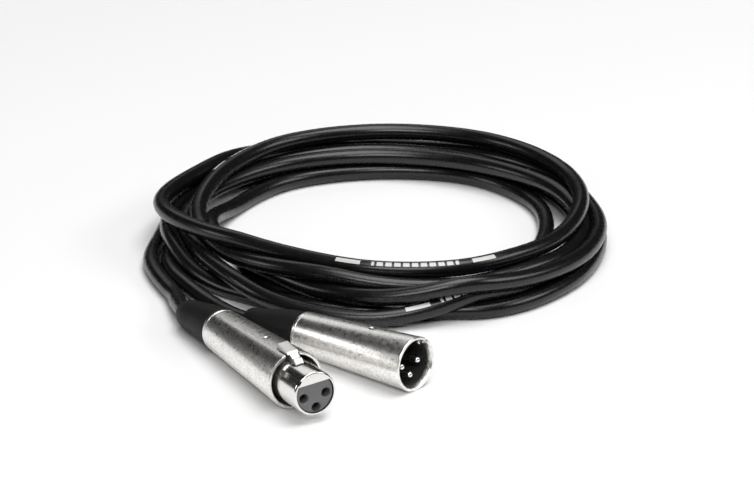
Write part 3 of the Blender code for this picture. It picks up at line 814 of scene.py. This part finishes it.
class MIC_OT_boots(bpy.types.Operator):
    """Makes the two tapered rubber boots around the cable's ends"""

    bl_idname = "mic.boots"
    bl_label = "Make Boots"

    def execute(self, context):
        for side, matrix, rear, length, lead in (
            ("female", FEMALE_AT, FEMALE_REAR, FEMALE_LENGTH, FEMALE_LEAD),
            ("male", MALE_AT, MALE_REAR, MALE_LENGTH, MALE_LEAD),
        ):
            line = evenly(smooth_curve(connector_line(matrix, length, lead), 0.5 * MM), 0.5 * MM)
            start = length + CLAMP_FROM + 0.3 * MM
            wide = rear - 0.35 * MM
            shape = [
                (0, wide - 0.5 * MM),
                (0.4 * MM, wide),
                (0.25 * BOOT_LENGTH, wide - 0.3 * MM),
                (0.55 * BOOT_LENGTH, wide - 1.2 * MM),
                (0.8 * BOOT_LENGTH, BOOT_END_RADIUS + 0.5 * MM),
            ]
            steps = [Vector((s, r, 0)) for s, r in shape]
            steps.append(Vector((BOOT_LENGTH - BOOT_LIP_LENGTH, BOOT_END_RADIUS, 0)))
            for angle in (30, 60, 80, 90):
                bend = math.radians(angle)
                out = BOOT_END_RADIUS - BOOT_LIP_FALL * (1 - math.cos(bend))
                back = BOOT_LIP_LENGTH * (1 - math.sin(bend))
                steps.append(Vector((BOOT_LENGTH - back, out, 0)))
            steps.append(Vector((BOOT_LENGTH - 0.1 * MM, CABLE_RADIUS, 0)))
            profile = smooth_curve(steps[1:6], 0.6 * MM)
            profile = [steps[0]] + profile + steps[6:]
            rings = points_at(line, np.array([start + p.x for p in profile]))
            boot = tube_mesh(side + "_cable_boot", rings, np.array([p.y for p in profile]), 48)
            finish_piece(
                boot,
                Matrix.Identity(4),
                finishes()["boot_rubber_matte"],
                (side + "_boot",),
                angle=50,
            )
        return {"FINISHED"}


def shell_outline(front, rear, length, inner):
    """A tapered shell's outside, with a lip at each end, then its inside from the rim back."""
    slope = (front - rear) / length
    lip, groove = 0.45 * MM, rear - 0.12 * MM
    outside = [(-length, rear - SHELL_WALL), (-length, rear - lip)]
    for angle in (30, 60, 90):
        bend = math.radians(angle)
        outside.append((-length + lip * (1 - math.cos(bend)), rear - lip * (1 - math.sin(bend))))
    outside += [(-length + 1.3 * MM, rear + 0.02 * MM), (-length + 1.45 * MM, groove)]
    outside += [(-length + 1.75 * MM, groove), (-length + 1.9 * MM, rear + 1.9 * MM * slope)]
    for angle in (0, 30, 60, 90):
        bend = math.radians(angle)
        out = front - lip * slope - lip * (1 - math.cos(bend))
        outside.append((-lip * (1 - math.sin(bend)), out))
    return outside + inner


def grub_screw(side, front, rear, length, shell, matrix, seat):
    """The slotted screw in a shell's top, and the countersunk hole that it stands in."""
    surface = front - (front - rear) * SCREW_FROM_RIM / length
    spot = (-SCREW_FROM_RIM, 0)
    wide, widest = SCREW_RADIUS + 0.15 * MM, SCREW_RADIUS + 0.15 * MM + 0.3 * MM
    outline = [(surface - 2 * MM, 0), (surface - 2 * MM, wide), (surface - 0.25 * MM, wide)]
    outline += [(surface + 0.05 * MM, widest), (surface + MM, widest), (surface + MM, 0)]
    join_shape(shell, lathe("screw_hole", outline, spot, SMALL_STEPS, upright=True))
    top = surface - 0.4 * MM
    outline = [(seat, 0), (seat, SCREW_RADIUS), (top - 0.15 * MM, SCREW_RADIUS)]
    outline += [(top, SCREW_RADIUS - 0.15 * MM), (top, 0)]
    screw = lathe(side + "_grub_screw", outline, spot, SMALL_STEPS, upright=True)
    low = (-SCREW_FROM_RIM - 2 * MM, -0.22 * MM, top - 0.5 * MM)
    high = (-SCREW_FROM_RIM + 2 * MM, 0.22 * MM, top + MM)
    join_shape(screw, block("screw_slot", low, high))
    finish_piece(screw, matrix, finishes()["steel_bright"], (side + "_set_screw",))


class MIC_OT_female_shell(bpy.types.Operator):
    """Spins the female shell and cuts its latch gate and screw hole"""

    bl_idname = "mic.female_shell"
    bl_label = "Make Female Shell"

    def execute(self, context):
        inner = [(0, FEMALE_FRONT - SHELL_WALL), (-0.3 * MM, FEMALE_FRONT - SHELL_WALL - 0.15 * MM)]
        outline = shell_outline(FEMALE_FRONT, FEMALE_REAR, FEMALE_LENGTH, inner)
        shell = lathe("female_outer_shell", outline)
        low = (-7.7 * MM, -SLOT_HALF_WIDTH, 5 * MM)
        high = (4 * MM, SLOT_HALF_WIDTH, 13 * MM)
        join_shape(shell, block("latch_gate", low, high, 0.9 * MM))
        seat = NOSE_RADIUS + 0.3 * MM
        grub_screw("female", FEMALE_FRONT, FEMALE_REAR, FEMALE_LENGTH, shell, FEMALE_AT, seat)
        finish_piece(shell, FEMALE_AT, finishes()["shell_nickel"], ("female_shell",))
        return {"FINISHED"}


class MIC_OT_female_nose(bpy.types.Operator):
    """Makes the bright nose with its bore, flat, keyway and latch slot"""

    bl_idname = "mic.female_nose"
    bl_label = "Make Female Nose"

    def execute(self, context):
        outline = [(NOSE_REAR, 0), (NOSE_REAR, NOSE_RADIUS), (NOSE_FRONT - 1.0 * MM, NOSE_RADIUS)]
        for angle in (25, 50, 70, 90):
            bend = math.radians(angle)
            out = NOSE_RADIUS - 0.6 * MM * (1 - math.cos(bend))
            outline.append((NOSE_FRONT - MM * (1 - math.sin(bend)), out))
        outline.append((NOSE_FRONT, 0))
        nose = lathe("female_bright_nose", outline)
        before, after = NOSE_REAR - MM, NOSE_FRONT + MM
        bore = lathe("bore", [(before, 0), (before, NOSE_BORE), (after, NOSE_BORE), (after, 0)])
        low = (before - MM, -10 * MM, NOSE_FLAT)
        join_shape(bore, block("flat", low, (after + MM, 10 * MM, 10 * MM)))
        join_shape(nose, bore)
        low = (HINGE.x - 2.6 * MM, -SLOT_HALF_WIDTH, SLOT_FLOOR)
        slot = block("slot", low, (SLOT_FRONT, SLOT_HALF_WIDTH, 10 * MM), 2.3 * MM)
        join_shape(nose, slot)
        low = (MM, -0.95 * MM, NOSE_RADIUS - 0.9 * MM)
        join_shape(nose, swing(block("keyway", low, (20 * MM, 0.95 * MM, 10 * MM)), KEY_ANGLE))
        finish_piece(nose, FEMALE_AT, finishes()["nose_chrome"], ("female_nose",))
        return {"FINISHED"}


def contact_places(drop):
    """The three contacts' (y, z) places: a right triangle, its corner towards the floor."""
    return [(-CONTACT_SPREAD, -drop), (CONTACT_SPREAD, -drop), (0, -drop - CONTACT_SPREAD)]


class MIC_OT_female_contacts(bpy.types.Operator):
    """Makes the female insulator with its three lead-in holes"""

    bl_idname = "mic.female_contacts"
    bl_label = "Make Female Contacts"

    def execute(self, context):
        front = NOSE_FRONT - 0.3 * MM
        wide = NOSE_BORE - 0.25 * MM
        outline = [(NOSE_REAR - 2 * MM, 0), (NOSE_REAR - 2 * MM, wide), (front - 0.3 * MM, wide)]
        outline += [(front, wide - 0.3 * MM), (front, 0)]
        insulator = lathe("female_contact_block", outline)
        low = (NOSE_REAR - 3 * MM, -10 * MM, NOSE_FLAT - 0.25 * MM)
        join_shape(insulator, block("flat", low, (NOSE_FRONT + MM, 10 * MM, 10 * MM)))
        for place in contact_places(FEMALE_DROP):
            rear, mouth = NOSE_REAR - 3 * MM, SOCKET_HOLE + 0.35 * MM
            outline = [(rear, 0), (rear, SOCKET_HOLE), (front - 0.35 * MM, SOCKET_HOLE)]
            outline += [(front + 0.01 * MM, mouth), (front + MM, mouth), (front + MM, 0)]
            join_shape(insulator, lathe("lead_in", outline, place, HOLE_STEPS))
        finish_piece(
            insulator, FEMALE_AT, finishes()["insulator_grey"], ("female_insulator",)
        )
        for number, place in enumerate(contact_places(FEMALE_DROP), 1):
            mouth = front - SOCKET_DEPTH
            outline = SOLDER_CUP + [(CUP_END, 1.1 * MM), (CUP_END + 4.5 * MM, 1.1 * MM)]
            outline += [(CUP_END + 4.5 * MM, SOCKET_RADIUS), (mouth - 0.15 * MM, SOCKET_RADIUS)]
            outline += [(mouth, SOCKET_RADIUS - 0.1 * MM), (mouth, 1.2 * MM)]
            outline += [(mouth - 15 * MM, 1.2 * MM), (mouth - 15 * MM, 0)]
            socket = lathe(f"female_contact_socket_{number}", outline, place, SMALL_STEPS)
            silver, node = finishes()["contact_silver"], f"female_socket_{number}"
            finish_piece(socket, FEMALE_AT, silver, (node,))
        return {"FINISHED"}


class MIC_OT_latch(bpy.types.Operator):
    """Makes the sprung latch with its thumb tab, its eye and its spring"""

    bl_idname = "mic.latch"
    bl_label = "Make Latch"

    def execute(self, context):
        rounding = context.scene.mic_connectors.edge_rounding
        across = Matrix.Translation(HINGE) @ Matrix.Rotation(math.pi / 2, 4, "X")

        def drum(name, half, radius):
            """A cylinder about the hinge's line."""
            outline = [(-half, 0), (-half, radius), (half, radius), (half, 0)]
            obj = lathe(name, outline, steps=SMALL_STEPS, upright=True)
            obj.data.transform(across)
            return obj

        points = [(x * MM, z * MM) for x, z in LATCH_ARM]
        arm = side_shape("female_thumb_latch", points, LATCH_HALF_WIDTH)
        round_edges(arm, rounding, 25)
        tab = side_shape("tab", [(x * MM, z * MM) for x, z in LATCH_TAB], TAB_HALF_WIDTH)
        round_edges(tab, 0.3 * MM, 25)
        join_shape(arm, tab, "UNION")
        join_shape(arm, drum("eye", LATCH_HALF_WIDTH - 0.2 * MM, EYE_RADIUS), "UNION")
        join_shape(arm, drum("hole", 3 * MM, HINGE_PIN_RADIUS + 0.15 * MM))
        nickel, steel = finishes()["latch_nickel"], finishes()["steel_bright"]
        finish_piece(arm, FEMALE_AT, nickel, ("female_latch",), "latch")
        steps = SPRING_TURNS * SPRING_TURN_STEPS
        turn = 2 * np.pi * np.arange(steps + 1) / SPRING_TURN_STEPS
        line = np.stack(
            [
                SPRING_X + SPRING_RADIUS * np.cos(turn),
                SPRING_RADIUS * np.sin(turn),
                np.linspace(SPRING_LOW, SPRING_TOP, steps + 1),
            ],
            axis=1,
        )
        spring = tube_mesh("female_latch_spring", line, SPRING_WIRE, 10)
        finish_piece(spring, FEMALE_AT, steel, ("latch_spring",), angle=60)
        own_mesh(spring)
        paint_node("latch_pin", steel)
        return {"FINISHED"}


class MIC_OT_male_shell(bpy.types.Operator):
    """Makes the male shell with its key, notch, latch pocket and screw hole, and a dark sheet
    inside its metal cup as painted shade
    """

    bl_idname = "mic.male_shell"
    bl_label = "Make Male Shell"

    def execute(self, context):
        inner = [(0, CUP_RADIUS + 0.65 * MM), (-0.2 * MM, CUP_RADIUS + 0.5 * MM)]
        inner += [(-1.6 * MM, CUP_RADIUS), (CUP_STEP, CUP_RADIUS), (CUP_STEP, 7.2 * MM)]
        outline = shell_outline(MALE_FRONT, MALE_REAR, MALE_LENGTH, inner)
        shell = lathe("male_outer_shell", outline)
        low = (-8.5 * MM, -SLOT_HALF_WIDTH, 7 * MM)
        high = (-3.2 * MM, SLOT_HALF_WIDTH, 8.95 * MM)
        join_shape(shell, block("pocket", low, high, 0.8 * MM))
        rib = block("rib", (-13.5 * MM, -0.7 * MM, 7.25 * MM), (-2.6 * MM, 0.7 * MM, 8.5 * MM))
        join_shape(shell, swing(rib, MALE_KEY_ANGLE), "UNION")
        low, high = (-2 * MM, -0.8 * MM, 7.6 * MM), (2 * MM, 0.8 * MM, 11 * MM)
        notch = block("notch", low, high, 0.4 * MM)
        join_shape(shell, swing(notch, MALE_KEY_ANGLE))
        seat = CUP_RADIUS + 0.1 * MM
        grub_screw("male", MALE_FRONT, MALE_REAR, MALE_LENGTH, shell, MALE_AT, seat)
        finish_piece(shell, MALE_AT, finishes()["shell_nickel"], ("male_shell",))
        # A thin dark sheet just inside the cup's metal wall: painted shade in the cup, not a part
        # of the connector.
        wide, deep = CUP_RADIUS + 0.05 * MM, 0.1 * MM - CUP_DEPTH
        inner = [(-1.7 * MM, wide - 0.05 * MM), (-1.9 * MM, wide - 0.2 * MM)]
        inner.append((deep, wide - 0.2 * MM))
        painted_shade_sheet = lathe("male_cup_lining", [(deep, wide), (-1.7 * MM, wide)] + inner)
        finish_piece(painted_shade_sheet, MALE_AT, finishes()["cup_dark"], ("male_shell",))
        return {"FINISHED"}


class MIC_OT_male_contacts(bpy.types.Operator):
    """Makes the male insulator and its three round-tipped pins"""

    bl_idname = "mic.male_contacts"
    bl_label = "Make Male Contacts"

    def execute(self, context):
        rear, wide = MALE_INSULATOR_REAR, CUP_RADIUS - 0.25 * MM
        outline = [(rear, 0), (rear, wide), (-CUP_DEPTH - 0.3 * MM, wide)]
        outline += [(-CUP_DEPTH, wide - 0.3 * MM), (-CUP_DEPTH, 0)]
        insulator = lathe("male_contact_block", outline)
        reach = PIN_RADIUS + 0.15 * MM
        for number, place in enumerate(contact_places(MALE_DROP), 1):
            outline = [(rear - MM, 0), (rear - MM, reach)]
            outline += [(MM - CUP_DEPTH, reach), (MM - CUP_DEPTH, 0)]
            join_shape(insulator, lathe("pin_hole", outline, place, SMALL_STEPS))
            outline = SOLDER_CUP + [(CUP_END, PIN_RADIUS)]
            for angle in (0, 20, 40, 60, 75, 90):
                bend = math.radians(angle)
                along = -PIN_RECESS - 1.2 * MM * (1 - math.sin(bend))
                outline.append((along, PIN_RADIUS * math.cos(bend)))
            pin = lathe(f"male_contact_pin_{number}", outline, place, SMALL_STEPS)
            silver, node = finishes()["contact_silver"], f"male_pin_{number}"
            finish_piece(pin, MALE_AT, silver, (node,))
        finish_piece(
            insulator, MALE_AT, finishes()["insulator_black"], ("male_insulator",)
        )
        return {"FINISHED"}


class MIC_OT_inner_parts(bpy.types.Operator):
    """Finishes the clamps and conductors inside both shells"""

    bl_idname = "mic.inner_parts"
    bl_label = "Finish Inner Parts"

    def execute(self, context):
        cores = (("hot", "core_red"), ("cold", "core_white"), ("drain", "core_bare"))
        for side in ("female", "male"):
            for half in ("upper", "lower"):
                paint_node(f"{side}_clamp_{half}", finishes()["clamp_black"])
            for core, finish in cores:
                paint_node(f"{side}_wire_{core}", finishes()[finish])
        return {"FINISHED"}


class MIC_PT_panel(bpy.types.Panel):
    """Lists the settings and the making steps"""

    bl_idname = "MIC_PT_panel"
    bl_label = "Mic Cable"
    bl_space_type = "VIEW_3D"
    bl_region_type = "UI"
    bl_category = "Mic Cable"

    def draw(self, context):
        scene = context.scene
        for group in (scene.mic_cable, scene.mic_connectors, scene.mic_stage):
            box = self.layout.box()
            for name in group.__annotations__:
                box.prop(group, name)
        for operator in OPERATORS:
            self.layout.operator(operator.bl_idname)


OPERATORS = (
    MIC_OT_stage,
    MIC_OT_cable,
    MIC_OT_boots,
    MIC_OT_female_shell,
    MIC_OT_female_nose,
    MIC_OT_female_contacts,
    MIC_OT_latch,
    MIC_OT_male_shell,
    MIC_OT_male_contacts,
    MIC_OT_inner_parts,
)
SETTINGS = (
    ("mic_cable", MicCableSettings),
    ("mic_connectors", MicConnectorSettings),
    ("mic_stage", MicStageSettings),
)


def register():
    for name, group in SETTINGS:
        bpy.utils.register_class(group)
        setattr(bpy.types.Scene, name, bpy.props.PointerProperty(type=group))
    for cls in (*OPERATORS, MIC_PT_panel):
        bpy.utils.register_class(cls)


def unregister():
    for cls in (MIC_PT_panel, *reversed(OPERATORS)):
        bpy.utils.unregister_class(cls)
    for name, group in reversed(SETTINGS):
        delattr(bpy.types.Scene, name)
        bpy.utils.unregister_class(group)


def main():
    register()
    bpy.ops.mic.stage()
    bpy.ops.mic.cable()
    bpy.ops.mic.boots()
    bpy.ops.mic.female_shell()
    bpy.ops.mic.female_nose()
    bpy.ops.mic.female_contacts()
    bpy.ops.mic.latch()
    bpy.ops.mic.male_shell()
    bpy.ops.mic.male_contacts()
    bpy.ops.mic.inner_parts()
    start_clear()


if __name__ == "__main__":
    main()
